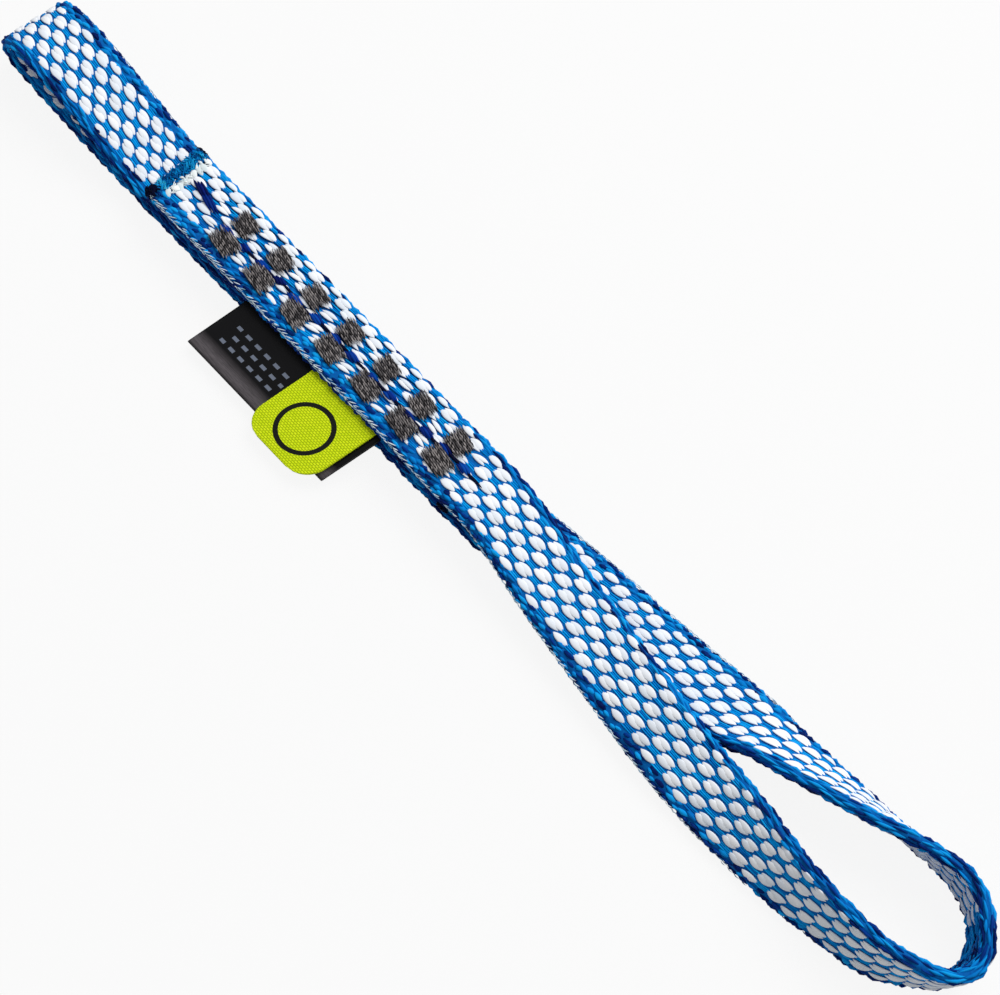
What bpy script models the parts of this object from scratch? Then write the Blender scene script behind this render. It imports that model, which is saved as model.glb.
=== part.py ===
"""Climbing sling: one woven tape sewn into a small loop and a large loop, with two labels.

The sling lies on its side faces at Z = 0, with the small loop towards -X and the large loop
towards +X. The origin is the middle of the sewn stretch, on the underside of the bottom ply.
"""

import math

import bmesh
import bpy
import numpy as np
from mathutils import Vector

# Tape
TAPE_WIDTH = 0.0110
TAPE_THICKNESS = 0.0022
CLEARANCE = 0.0003        # between pieces that touch on the real sling
OVERRUN = 0.0010          # how far a cutter reaches past what it cuts

# Sewn stretch, from the hinge line of the small loop to that of the large loop
SEWN_LENGTH = 0.0706
CUT_END_SETBACK = 0.0026  # from the small loop's hinge line to the top ply's cut end

# Large loop
LARGE_LOOP_LENGTH = 0.0911  # hinge line to the middle of the tape at the far bend
LARGE_LOOP_SPREAD = 0.0097  # centre line to the middle of the tape at its widest
LARGE_LOOP_STEPS = 108

# Small loop
SMALL_LOOP_LENGTH = 0.0309
SMALL_LOOP_HEIGHT = 0.0079  # how far the tape's middle climbs above its lowest place
SMALL_LOOP_LEAN = 0.0004    # the tip's sideways shift
SMALL_LOOP_STEPS = 56
TIP_SKEW_SHARE = 0.105      # how much further the tip reaches on its -Y side, per width

# Bar tacks
TACK_ROWS = 7
TACK_SMALL_LOOP_MARGIN = 0.01625  # from the small loop's hinge line to the first row
TACK_LARGE_LOOP_MARGIN = 0.00863  # from the last row to the large loop's hinge line
TACK_COLUMN_OFFSET = 0.00198
TACK_LENGTH = 0.0045
TACK_WIDTH = 0.0029
TACK_THICKNESS = 0.0006
TACK_PROUD = 0.0002         # above the top ply
TACK_RECESS = 0.0001        # above the resting plane, at the underside
TACK_CROWN = 0.00015
TACK_STEM_LENGTH = 0.0033
TACK_STEM_WIDTH = 0.0017
TACK_SKEW_SHARE = 0.25

# Line of stitching down the middle
SEAM_THREAD = 0.00045
SEAM_SMALL_LOOP_MARGIN = 0.0043
SEAM_LARGE_LOOP_MARGIN = 0.0053
SEAM_STITCH_COUNT = 16
SEAM_NECK_SHARE = 0.5       # of the thread's width, where a stitch goes down into the tape

# Labels
LABEL_SPACING = 0.0011      # between the mid-planes of the two labels
LABEL_TAIL_THICKNESS = 0.0005
LABEL_TAIL_DEPTH = 0.0021   # how far the sewn-in ends reach under the top ply
LABEL_DROOP_DEG = 18.0
LABEL_SKEW_SHARE = 0.21     # drift towards -X along the label
BLACK_LABEL_START = -0.0112
BLACK_LABEL_LENGTH = 0.0291
BLACK_LABEL_DROP = 0.0090
BLACK_LABEL_RIBBON = 0.0002
BLACK_LABEL_FOLD = 0.00035  # outer radius of the fold
YELLOW_LABEL_START = 0.0038
YELLOW_LABEL_LENGTH = 0.0134
YELLOW_LABEL_DROP = 0.0115
YELLOW_LABEL_THICKNESS = 0.0005
YELLOW_LABEL_CORNER = 0.0037

# Facets
EDGE_STEPS = 4
SEAT_STEPS = 16
CORNER_STEPS = 5
STITCH_STEPS = 6
THREAD_SIDES = 6

# Derived places
HALF_WIDTH = TAPE_WIDTH / 2
HALF_THICKNESS = TAPE_THICKNESS / 2
PLY_PITCH = TAPE_THICKNESS + CLEARANCE
BOTTOM_Z = HALF_THICKNESS
MIDDLE_Z = BOTTOM_Z + PLY_PITCH
TOP_Z = MIDDLE_Z + PLY_PITCH
STACK_TOP = TOP_Z + HALF_THICKNESS
SMALL_HINGE = Vector((-SEWN_LENGTH / 2, 0, (BOTTOM_Z + MIDDLE_Z) / 2))
LARGE_HINGE = Vector((SEWN_LENGTH / 2, 0, (BOTTOM_Z + TOP_Z) / 2))
SMALL_KNUCKLE = SMALL_HINGE.z
LARGE_KNUCKLE = LARGE_HINGE.z
TACK_FIRST_ROW = SMALL_HINGE.x + TACK_SMALL_LOOP_MARGIN
TACK_PITCH = (LARGE_HINGE.x - TACK_LARGE_LOOP_MARGIN - TACK_FIRST_ROW) / (TACK_ROWS - 1)
SEAM_START = SMALL_HINGE.x + SEAM_SMALL_LOOP_MARGIN
SEAM_STITCH = (LARGE_HINGE.x - SEAM_LARGE_LOOP_MARGIN - SEAM_START) / SEAM_STITCH_COUNT
LABEL_GAP_Z = (MIDDLE_Z + TOP_Z) / 2
BLACK_LABEL_Z = LABEL_GAP_Z - LABEL_SPACING / 2
YELLOW_LABEL_Z = LABEL_GAP_Z + LABEL_SPACING / 2
BLACK_LABEL_HINGE = Vector((0, -HALF_WIDTH - CLEARANCE - BLACK_LABEL_FOLD, BLACK_LABEL_Z))
YELLOW_LABEL_HINGE = Vector((0, -HALF_WIDTH - CLEARANCE - YELLOW_LABEL_THICKNESS / 2, YELLOW_LABEL_Z))

# Large loop, from the top ply round to the bottom ply: along X as a share of the length, along Y
# as a share of the spread, roll as a share of a quarter turn, and lift as a share of the height
# of the top ply's underside. The tape lies flat at both ends, stands on its edge near the bend and
# leans a little outward at the bend itself.
LARGE_LOOP_SHARES = (
    (0.000, 0.000, 0.000, 1.00),
    (0.074, -0.068, 0.000, 0.86),
    (0.156, -0.195, 0.037, 0.62),
    (0.264, -0.334, 0.085, 0.43),
    (0.376, -0.470, 0.180, 0.24),
    (0.494, -0.595, 0.255, 0.09),
    (0.607, -0.662, 0.400, 0.00),
    (0.719, -0.728, 0.620, 0.00),
    (0.832, -0.693, 0.787, 0.00),
    (0.902, -0.590, 0.880, 0.00),
    (0.952, -0.379, 1.007, 0.00),
    (0.989, -0.122, 1.109, 0.00),
    (1.000, 0.189, 1.143, 0.00),
    (0.983, 0.558, 1.080, 0.00),
    (0.936, 0.915, 1.025, 0.00),
    (0.881, 1.000, 0.955, 0.00),
    (0.811, 0.915, 0.840, 0.00),
    (0.743, 0.804, 0.710, 0.00),
    (0.667, 0.686, 0.575, 0.00),
    (0.597, 0.585, 0.450, 0.00),
    (0.554, 0.532, 0.345, 0.00),
    (0.516, 0.484, 0.205, 0.00),
    (0.473, 0.426, 0.100, 0.00),
    (0.374, 0.321, 0.030, 0.00),
    (0.270, 0.241, 0.008, 0.00),
    (0.171, 0.160, 0.000, 0.00),
    (0.074, 0.062, 0.000, 0.00),
    (0.000, 0.000, 0.000, 0.00),
)

# Small loop, from the middle ply over the tip to the bottom ply: share of the length towards -X,
# and share of the loop's height. The two ends take the height of their plies.
SMALL_LOOP_SHARES = (
    (0.148, 0.410),
    (0.338, 0.660),
    (0.527, 0.875),
    (0.716, 0.990),
    (0.864, 0.965),
    (0.966, 0.760),
    (1.000, 0.475),
    (0.952, 0.225),
    (0.833, 0.095),
    (0.685, 0.030),
    (0.495, 0.004),
    (0.306, 0.000),
)
SKEW_START_SHARE = 0.10     # of the small loop's length, where the tip's skew begins
SKEW_END_SHARE = 0.96       # and where it is complete


def clear_scene():
    """Remove whatever the file holds."""
    for obj in list(bpy.data.objects):
        bpy.data.objects.remove(obj, do_unlink=True)


def finish(name, colour, roughness):
    """A plain dielectric finish."""
    material = bpy.data.materials.new(name)
    material.use_nodes = True
    shader = material.node_tree.nodes["Principled BSDF"]
    shader.inputs["Base Color"].default_value = (*colour, 1)
    shader.inputs["Roughness"].default_value = roughness
    shader.inputs["Metallic"].default_value = 0
    return material


def add_object(name, bm, material=None, pivot=None):
    """Turn a bmesh in world coordinates into an object whose origin is the pivot."""
    pivot = pivot or Vector()
    bmesh.ops.recalc_face_normals(bm, faces=bm.faces)
    bmesh.ops.translate(bm, vec=-pivot, verts=bm.verts)
    mesh = bpy.data.meshes.new(name)
    bm.to_mesh(mesh)
    bm.free()
    mesh.shade_smooth()
    mesh.set_sharp_from_angle(angle=math.radians(40))
    if material:
        mesh.materials.append(material)
    obj = bpy.data.objects.new(name, mesh)
    obj.location = pivot
    bpy.context.scene.collection.objects.link(obj)
    return obj


def loft(rings, bm=None):
    """Skin a row of closed rings of points, and cap both ends."""
    bm = bm or bmesh.new()
    rows = [[bm.verts.new(point) for point in ring] for ring in rings]
    count = len(rows[0])
    for lower, upper in zip(rows, rows[1:]):
        for i in range(count):
            j = (i + 1) % count
            bm.faces.new((lower[i], lower[j], upper[j], upper[i]))
    bm.faces.new(rows[0])
    bm.faces.new(rows[-1])
    return bm


def as_cutter(obj):
    """Keep an object for cutting only."""
    obj.hide_render = True
    obj.display_type = "WIRE"
    return obj


def cut(obj, cutter):
    """Take the cutter's shape out of the object."""
    modifier = obj.modifiers.new(cutter.name, "BOOLEAN")
    modifier.operation = "DIFFERENCE"
    modifier.object = cutter
    modifier.solver = "EXACT"


def tape_section():
    """The tape's section, a flat band with round edges, as (across, through) pairs."""
    flat = HALF_WIDTH - HALF_THICKNESS
    outline = []
    for side in (1, -1):
        for step in range(EDGE_STEPS + 1):
            angle = math.pi * step / EDGE_STEPS - math.pi / 2
            across = side * (flat + HALF_THICKNESS * math.cos(angle))
            outline.append((across, side * HALF_THICKNESS * math.sin(angle)))
    return outline


def tape_ring(centre, across, through):
    """The tape's section placed at a point, along two directions."""
    return [centre + u * across + v * through for u, v in tape_section()]


def smooth_curve(points, steps):
    """A natural cubic spline through rows of values, spaced by the distance in the first two."""
    rows = np.array(points, float)
    knots = np.concatenate(([0], np.cumsum(np.linalg.norm(np.diff(rows[:, :2], axis=0), axis=1))))
    gaps = np.diff(knots)
    count = len(knots)
    matrix = np.eye(count)
    target = np.zeros_like(rows)
    for i in range(1, count - 1):
        matrix[i, i - 1:i + 2] = gaps[i - 1], 2 * (gaps[i - 1] + gaps[i]), gaps[i]
        target[i] = 6 * ((rows[i + 1] - rows[i]) / gaps[i] - (rows[i] - rows[i - 1]) / gaps[i - 1])
    bend = np.linalg.solve(matrix, target)
    curve = []
    for place in np.linspace(0, knots[-1], steps + 1):
        i = min(max(int(np.searchsorted(knots, place)) - 1, 0), count - 2)
        after, before = knots[i + 1] - place, place - knots[i]
        curve.append(
            (bend[i] * after**3 + bend[i + 1] * before**3) / (6 * gaps[i])
            + (rows[i] / gaps[i] - bend[i] * gaps[i] / 6) * after
            + (rows[i + 1] / gaps[i] - bend[i + 1] * gaps[i] / 6) * before
        )
    return np.array(curve)


def directions_along(points):
    """Unit tangents of a row of points."""
    tangents = np.gradient(points, axis=0)
    return tangents / np.linalg.norm(tangents, axis=1)[:, None]


def prism(outline, low, high):
    """An XZ outline drawn along Y."""
    return loft([[Vector((x, y, z)) for x, z in outline] for y in (low, high)])


def arc(centre_x, centre_z, radius, start_deg, end_deg, steps=SEAT_STEPS):
    """Points on an arc in the XZ plane."""
    angles = [math.radians(start_deg + (end_deg - start_deg) * i / steps) for i in range(steps + 1)]
    return [(centre_x + radius * math.cos(a), centre_z + radius * math.sin(a)) for a in angles]


def seat_cutter(name, hinge, knuckle):
    """The hollow round a hinge line in which a loop's round end turns."""
    reach = HALF_WIDTH + OVERRUN
    circle = arc(hinge.x, hinge.z, knuckle + CLEARANCE, 0, 360)[:-1]
    return as_cutter(add_object(name, prism(circle, -reach, reach)))


def knuckle_cutter(name, hinge, knuckle, side):
    """All that lies past a loop's hinge line, apart from the round end that turns in its seat."""
    reach = HALF_WIDTH + OVERRUN
    far = hinge.x + side * 2 * knuckle
    high = hinge.z + knuckle + OVERRUN
    low = hinge.z - knuckle - OVERRUN
    bite = arc(hinge.x, hinge.z, knuckle, 90, 90 + side * -180)
    outline = [(far, low), (far, high), (hinge.x, high), *bite, (hinge.x, low)]
    return as_cutter(add_object(name, prism(outline, -reach, reach)))


def make_ply(name, start, end, height, material):
    """One ply of the sewn stretch."""
    across, through = Vector((0, 1, 0)), Vector((0, 0, 1))
    rings = [tape_ring(Vector((x, 0, height)), across, through) for x in (start, end)]
    return add_object(name, loft(rings), material)


def make_plies(material):
    """The three plies, hollowed round the hinge lines."""
    start, end = SMALL_HINGE.x, LARGE_HINGE.x
    plies = {
        "top_ply": make_ply("top_ply", start + CUT_END_SETBACK, end, TOP_Z, material),
        "middle_ply": make_ply(
            "middle_ply", start, end - LARGE_KNUCKLE - 2 * CLEARANCE, MIDDLE_Z, material
        ),
        "bottom_ply": make_ply("bottom_ply", start, end, BOTTOM_Z, material),
    }
    small_seat = seat_cutter("small_seat_cutter", SMALL_HINGE, SMALL_KNUCKLE)
    large_seat = seat_cutter("large_seat_cutter", LARGE_HINGE, LARGE_KNUCKLE)
    for name in ("middle_ply", "bottom_ply"):
        cut(plies[name], small_seat)
    for name in ("top_ply", "bottom_ply"):
        cut(plies[name], large_seat)
    return plies


def large_loop_rings():
    """Sections of the large loop, from the top ply to the bottom ply."""
    lift = TOP_Z - BOTTOM_Z
    shares = LARGE_LOOP_SHARES
    lead = LARGE_KNUCKLE + OVERRUN
    table = [(x * LARGE_LOOP_LENGTH, y * LARGE_LOOP_SPREAD, roll, rise) for x, y, roll, rise in shares]
    table = [(-lead, 0, *shares[0][2:]), *table, (-lead, 0, *shares[-1][2:])]
    curve = smooth_curve(table, LARGE_LOOP_STEPS)
    roll = np.maximum(curve[:, 2], 0) * math.pi / 2
    rise = lift * np.clip(curve[:, 3], 0, 1)
    height = HALF_THICKNESS + (HALF_WIDTH - HALF_THICKNESS) * np.sin(roll) + rise
    centres = np.column_stack((curve[:, 0] + LARGE_HINGE.x, curve[:, 1], height))
    rings = []
    for centre, tangent, turn in zip(centres, directions_along(centres), roll):
        along = Vector(tangent)
        level = Vector((0, 0, 1)).cross(along).normalized()
        square = along.cross(level)
        across = math.cos(turn) * level + math.sin(turn) * square
        rings.append(tape_ring(Vector(centre), across, along.cross(across)))
    return rings


def make_large_loop(material):
    """The open loop, which stands on its edge at the far bend."""
    loop = add_object("large_loop", loft(large_loop_rings()), material, LARGE_HINGE)
    cut(loop, knuckle_cutter("large_knuckle_cutter", LARGE_HINGE, LARGE_KNUCKLE, -1))
    return loop


def small_loop_rings():
    """Sections of the small loop, from the middle ply over the tip to the bottom ply."""
    lead = SMALL_KNUCKLE + OVERRUN
    table = [(x * SMALL_LOOP_LENGTH, BOTTOM_Z + z * SMALL_LOOP_HEIGHT) for x, z in SMALL_LOOP_SHARES]
    table = [(-lead, MIDDLE_Z), (0, MIDDLE_Z), *table, (0, BOTTOM_Z), (-lead, BOTTOM_Z)]
    curve = smooth_curve(table, SMALL_LOOP_STEPS)
    rings = []
    for (reach, height), (along_x, along_z) in zip(curve, directions_along(curve)):
        share = (reach / SMALL_LOOP_LENGTH - SKEW_START_SHARE) / (SKEW_END_SHARE - SKEW_START_SHARE)
        share = min(max(share, 0), 1)
        centre = Vector((SMALL_HINGE.x - reach, share * SMALL_LOOP_LEAN, height))
        across = Vector((share * TIP_SKEW_SHARE, 1, 0))
        rings.append(tape_ring(centre, across, Vector((along_z, 0, along_x))))
    return rings


def make_small_loop(material):
    """The tight loop at the short end."""
    loop = add_object("small_loop", loft(small_loop_rings()), material, SMALL_HINGE)
    cut(loop, knuckle_cutter("small_knuckle_cutter", SMALL_HINGE, SMALL_KNUCKLE, 1))
    return loop


def tack_rings(x, y, grow):
    """A bar tack as a spool: a pad under the plies, a stem through them and a pad on top."""
    pad = (TACK_LENGTH / 2 + grow, TACK_WIDTH / 2 + grow)
    crown = (pad[0] - TACK_CROWN, pad[1] - TACK_CROWN)
    stem = (TACK_STEM_LENGTH / 2 + grow, TACK_STEM_WIDTH / 2 + grow)
    past = OVERRUN if grow else 0
    low, high = TACK_RECESS - past, STACK_TOP + TACK_PROUD + past
    low_pad = TACK_RECESS + TACK_THICKNESS + grow
    high_pad = STACK_TOP + TACK_PROUD - TACK_THICKNESS - grow
    levels = [(low, crown), (low + TACK_CROWN, pad), (low_pad, pad), (low_pad, stem)]
    levels += [(high_pad, stem), (high_pad, pad), (high - TACK_CROWN, pad), (high, crown)]
    rings = []
    for z, (half_length, half_width) in levels:
        ring = []
        for u, v in rounded_corners(half_length, half_width, TACK_CROWN):
            ring.append(Vector((x + u + TACK_SKEW_SHARE * v, y + v, z)))
        rings.append(ring)
    return rings


def rounded_corners(half_length, half_width, corner):
    """A rectangle with each corner cut once."""
    u, v = half_length, half_width
    return [
        (u, v - corner), (u - corner, v), (corner - u, v), (-u, v - corner),
        (-u, corner - v), (corner - u, -v), (u - corner, -v), (u, corner - v),
    ]


def tack_places():
    """Row number, column name and centre of each bar tack."""
    for row in range(TACK_ROWS):
        x = TACK_FIRST_ROW + row * TACK_PITCH
        yield row + 1, "upper", x, TACK_COLUMN_OFFSET
        yield row + 1, "lower", x, -TACK_COLUMN_OFFSET


def make_tacks(material, plies):
    """The bar tacks, and the holes that they pass through."""
    holes = bmesh.new()
    for row, column, x, y in tack_places():
        add_object(f"bar_tack_{column}_{row}", loft(tack_rings(x, y, 0)), material)
        loft(tack_rings(x, y, CLEARANCE), holes)
    cutter = as_cutter(add_object("tack_cutter", holes))
    for ply in plies.values():
        cut(ply, cutter)


def make_seam(material):
    """The line of stitches on the top ply, thick in the middle of each and thin between."""
    height = STACK_TOP + CLEARANCE + SEAM_THREAD / 2
    rings = []
    for step in range(SEAM_STITCH_COUNT * STITCH_STEPS + 1):
        stitch = step / STITCH_STEPS
        radius = SEAM_THREAD / 2 * max(abs(math.sin(math.pi * stitch)), SEAM_NECK_SHARE)
        ring = []
        for side in range(THREAD_SIDES):
            angle = 2 * math.pi * side / THREAD_SIDES
            offset = Vector((0, radius * math.cos(angle), radius * math.sin(angle)))
            ring.append(Vector((SEAM_START + stitch * SEAM_STITCH, 0, height)) + offset)
        rings.append(ring)
    add_object("centre_seam", loft(rings), material)


def box(low, high):
    """A closed box between two corners."""
    outline = [(low.x, low.z), (high.x, low.z), (high.x, high.z), (low.x, high.z)]
    return prism(outline, low.y, high.y)


def make_label_tail(name, start, length, height, material):
    """The sewn-in end of a label, between the top and the middle ply."""
    low = Vector((start, -HALF_WIDTH, height - LABEL_TAIL_THICKNESS / 2))
    high = Vector((start + length, LABEL_TAIL_DEPTH - HALF_WIDTH, height + LABEL_TAIL_THICKNESS / 2))
    return add_object(name, box(low, high), material)


def label_pocket():
    """The room that the labels' sewn-in ends press into the two plies."""
    spread = LABEL_TAIL_THICKNESS / 2 + CLEARANCE
    start = min(BLACK_LABEL_START, YELLOW_LABEL_START) - CLEARANCE
    black_end = BLACK_LABEL_START + BLACK_LABEL_LENGTH
    end = max(black_end, YELLOW_LABEL_START + YELLOW_LABEL_LENGTH) + CLEARANCE
    low = Vector((start, -HALF_WIDTH - OVERRUN, BLACK_LABEL_Z - spread))
    high = Vector((end, LABEL_TAIL_DEPTH - HALF_WIDTH + CLEARANCE, YELLOW_LABEL_Z + spread))
    return as_cutter(add_object("label_pocket_cutter", box(low, high)))


def label_point(hinge, x, along, through):
    """A point of a label that droops from its hinge line towards -Y."""
    droop = math.radians(LABEL_DROOP_DEG)
    outward = Vector((-LABEL_SKEW_SHARE, -math.cos(droop), -math.sin(droop)))
    upward = Vector((0, -math.sin(droop), math.cos(droop)))
    return Vector((x, hinge.y, hinge.z)) + along * outward + through * upward


def make_black_label(material):
    """A ribbon folded in two, its fold at the outer edge."""
    outer, inner = BLACK_LABEL_FOLD, BLACK_LABEL_FOLD - BLACK_LABEL_RIBBON
    turn = BLACK_LABEL_DROP - outer
    outline = [(0, -outer), *arc(turn, 0, outer, -90, 90, CORNER_STEPS), (0, outer)]
    outline += [(0, inner), *arc(turn, 0, inner, 90, -90, CORNER_STEPS), (0, -inner)]
    rings = []
    for x in (BLACK_LABEL_START, BLACK_LABEL_START + BLACK_LABEL_LENGTH):
        rings.append([label_point(BLACK_LABEL_HINGE, x, along, through) for along, through in outline])
    return add_object("black_label", loft(rings), material, BLACK_LABEL_HINGE)


def make_yellow_label(material):
    """A single woven tab with round outer corners."""
    turn = YELLOW_LABEL_DROP - YELLOW_LABEL_CORNER
    inset = YELLOW_LABEL_LENGTH - YELLOW_LABEL_CORNER
    outline = [(0, 0), (YELLOW_LABEL_LENGTH, 0)]
    outline += arc(inset, turn, YELLOW_LABEL_CORNER, 0, 90, CORNER_STEPS)
    outline += arc(YELLOW_LABEL_CORNER, turn, YELLOW_LABEL_CORNER, 90, 180, CORNER_STEPS)
    rings = []
    for through in (-YELLOW_LABEL_THICKNESS / 2, YELLOW_LABEL_THICKNESS / 2):
        ring = []
        for x, along in outline:
            ring.append(label_point(YELLOW_LABEL_HINGE, YELLOW_LABEL_START + x, along, through))
        rings.append(ring)
    return add_object("yellow_label", loft(rings), material, YELLOW_LABEL_HINGE)


def make_labels(black, yellow, plies):
    """Both labels, with the ends that the stitching holds."""
    make_label_tail("black_label_tail", BLACK_LABEL_START, BLACK_LABEL_LENGTH, BLACK_LABEL_Z, black)
    make_label_tail("yellow_label_tail", YELLOW_LABEL_START, YELLOW_LABEL_LENGTH, YELLOW_LABEL_Z, yellow)
    pocket = label_pocket()
    for name in ("top_ply", "middle_ply"):
        cut(plies[name], pocket)
    make_black_label(black)
    make_yellow_label(yellow)


def main():
    clear_scene()
    tape = finish("woven_tape", (0.30, 0.56, 0.85), 0.75)
    thread = finish("grey_thread", (0.14, 0.13, 0.12), 0.6)
    seam_thread = finish("blue_thread", (0.01, 0.04, 0.30), 0.6)
    black = finish("black_satin", (0.01, 0.01, 0.012), 0.35)
    yellow = finish("yellow_weave", (0.60, 0.78, 0.02), 0.7)
    plies = make_plies(tape)
    make_large_loop(tape)
    make_small_loop(tape)
    make_tacks(thread, plies)
    make_seam(seam_thread)
    make_labels(black, yellow, plies)


main()
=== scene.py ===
"""The look of the climbing sling: woven yarn, stitching, labels, floor, light and camera.

Lengths are in metres and places in the part's frame. The tape is followed from its cut end over
the top ply, round the large loop, under the sewn stretch, round the small loop and in between
the plies. A place on it is given by the distance along the tape, the distance round its section
from the middle of a face, and the height from the tape's middle plane.
"""

import math
from collections import namedtuple

import bpy
import numpy as np
from mathutils import Matrix, Vector


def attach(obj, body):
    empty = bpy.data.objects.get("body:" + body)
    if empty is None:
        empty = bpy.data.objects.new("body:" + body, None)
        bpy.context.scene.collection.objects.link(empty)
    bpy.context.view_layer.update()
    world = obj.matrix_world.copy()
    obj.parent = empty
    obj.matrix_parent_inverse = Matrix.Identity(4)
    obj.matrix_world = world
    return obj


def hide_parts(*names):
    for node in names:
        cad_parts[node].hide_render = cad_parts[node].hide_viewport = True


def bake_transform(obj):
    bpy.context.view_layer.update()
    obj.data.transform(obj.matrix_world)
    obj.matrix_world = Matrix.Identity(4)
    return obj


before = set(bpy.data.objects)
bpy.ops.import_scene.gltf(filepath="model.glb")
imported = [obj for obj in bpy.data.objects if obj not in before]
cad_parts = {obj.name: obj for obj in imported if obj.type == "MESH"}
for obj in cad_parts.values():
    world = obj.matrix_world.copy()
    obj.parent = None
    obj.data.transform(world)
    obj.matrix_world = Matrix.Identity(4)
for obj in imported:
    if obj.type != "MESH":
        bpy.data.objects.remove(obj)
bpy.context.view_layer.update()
RANDOM = np.random.default_rng(20)

# One strand: where its middle lies, its sizes, the face it lies on, how far it turns and bows
# sideways, and how far its ends lie below its middle
Strand = namedtuple("Strand", "along across length width top depth face slant bow dip", defaults=(1, 0, 0, 0))
# The most that chance shifts a strand: lengths, shares of its own sizes, and a slope
Shift = namedtuple("Shift", "along across length_share width_share slant top", defaults=(0,) * 6)
Rim = namedtuple("Rim", "side pitch length width slant")
EndKind = namedtuple("EndKind", "length length_shares width width_shares tops turn bow")

# Tape, as in the CAD source
TAPE_WIDTH = 0.0110
TAPE_THICKNESS = 0.0022
CLEARANCE = 0.0003
OVERRUN = 0.0010
SEWN_LENGTH = 0.0706
CUT_END_SETBACK = 0.0026
LARGE_LOOP_LENGTH = 0.0911
LARGE_LOOP_SPREAD = 0.0097
SMALL_LOOP_LENGTH = 0.0309
SMALL_LOOP_HEIGHT = 0.0079
SMALL_LOOP_LEAN = 0.0004
TIP_SKEW_SHARE = 0.105
SKEW_START_SHARE = 0.10
SKEW_END_SHARE = 0.96
HALF_WIDTH = TAPE_WIDTH / 2
HALF_THICKNESS = TAPE_THICKNESS / 2
HALF_FLAT = HALF_WIDTH - HALF_THICKNESS
PLY_PITCH = TAPE_THICKNESS + CLEARANCE
BOTTOM_Z = HALF_THICKNESS
MIDDLE_Z = BOTTOM_Z + PLY_PITCH
TOP_Z = MIDDLE_Z + PLY_PITCH
STACK_TOP = TOP_Z + HALF_THICKNESS
SMALL_HINGE_X = -SEWN_LENGTH / 2
LARGE_HINGE_X = SEWN_LENGTH / 2
SMALL_KNUCKLE = (BOTTOM_Z + MIDDLE_Z) / 2
LARGE_KNUCKLE = (BOTTOM_Z + TOP_Z) / 2

# Large loop: along X as a share of the length, along Y as a share of the spread, roll as a share
# of a quarter turn, and lift as a share of the height of the top ply's underside
LARGE_LOOP_SHARES = (
    (0.000, 0.000, 0.000, 1.00),
    (0.074, -0.068, 0.000, 0.86),
    (0.156, -0.195, 0.037, 0.62),
    (0.264, -0.334, 0.085, 0.43),
    (0.376, -0.470, 0.180, 0.24),
    (0.494, -0.595, 0.255, 0.09),
    (0.607, -0.662, 0.400, 0.00),
    (0.719, -0.728, 0.620, 0.00),
    (0.832, -0.693, 0.787, 0.00),
    (0.902, -0.590, 0.880, 0.00),
    (0.952, -0.379, 1.007, 0.00),
    (0.989, -0.122, 1.109, 0.00),
    (1.000, 0.189, 1.143, 0.00),
    (0.983, 0.558, 1.080, 0.00),
    (0.936, 0.915, 1.025, 0.00),
    (0.881, 1.000, 0.955, 0.00),
    (0.811, 0.915, 0.840, 0.00),
    (0.743, 0.804, 0.710, 0.00),
    (0.667, 0.686, 0.575, 0.00),
    (0.597, 0.585, 0.450, 0.00),
    (0.554, 0.532, 0.345, 0.00),
    (0.516, 0.484, 0.205, 0.00),
    (0.473, 0.426, 0.100, 0.00),
    (0.374, 0.321, 0.030, 0.00),
    (0.270, 0.241, 0.008, 0.00),
    (0.171, 0.160, 0.000, 0.00),
    (0.074, 0.062, 0.000, 0.00),
    (0.000, 0.000, 0.000, 0.00),
)

# Small loop, from the middle ply over the tip to the bottom ply: share of the length towards -X,
# and share of the loop's height
SMALL_LOOP_SHARES = (
    (0.148, 0.410),
    (0.338, 0.660),
    (0.527, 0.875),
    (0.716, 0.990),
    (0.864, 0.965),
    (0.966, 0.760),
    (1.000, 0.475),
    (0.952, 0.225),
    (0.833, 0.095),
    (0.685, 0.030),
    (0.495, 0.004),
    (0.306, 0.000),
)
ROUTE_STEPS = 900
ROUTE_PITCH = 0.0005
FOLD_START = 0.0035        # before the small loop's hinge line, where the weave begins to lie closer

# Weave
WEAVE_PERIOD = 0.0064      # along the tape, from one white pair to the next in its row
WEAVE_ANCHOR = 0.08335     # where a lone lobe lies beside the plain edge of the large run
SMALL_RUN_ANCHOR = 0.0873
SEWN_DENSITY = 1.115       # how much closer the weave lies where the stitches pull it together
SEWN_FADE_START = 0.024    # along X, where the weave begins to lie loose again
SEWN_FADE_END = 0.048
BEND_DENSITY = 0.92        # how close the weave lies where the tape rolls onto its edge
BEND_ROLL_SHARE = 0.33     # of a quarter turn, from which the tape is stretched so
LINE_COUNT = 9             # lines of white lobes across the tape
LINE_PITCH = 0.00092
FIRST_LINE = -0.00358      # across the tape, on the side of the knitted edge
ROW_SHIFT_SHARE = 1 / 3    # of a period, from one row of pairs to the next
HOLLOW_SHARE = 1 / 3       # of a period, from a row's pair to its hollow
LOBE_LENGTH = 0.00285
LOBE_WIDTH = 0.00112
LOBE_STAGGER = 0.00030     # between the two lobes of a pair
PAIR_CLOSENESS = 0.00016   # how far each lobe of a pair lies towards the other
LOBE_SLANT = 0.08
LOBE_TOP = 0.00110
LOBE_DEPTH = 0.00016
LOBE_SHIFT = Shift(0.00006, 0.00003, 0.05, 0.05, 0.03, 0.00004)
LOBE_SQUEEZED = Shift(across=0.0004, slant=0.5)
BLUE_PITCH = 0.00029       # between the blue strips of one hollow
BLUE_STAGGER = 0.0002
BLUE_LENGTH = 0.0034
BLUE_WIDTH = 0.00027
BLUE_TOP = 0.00094
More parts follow.
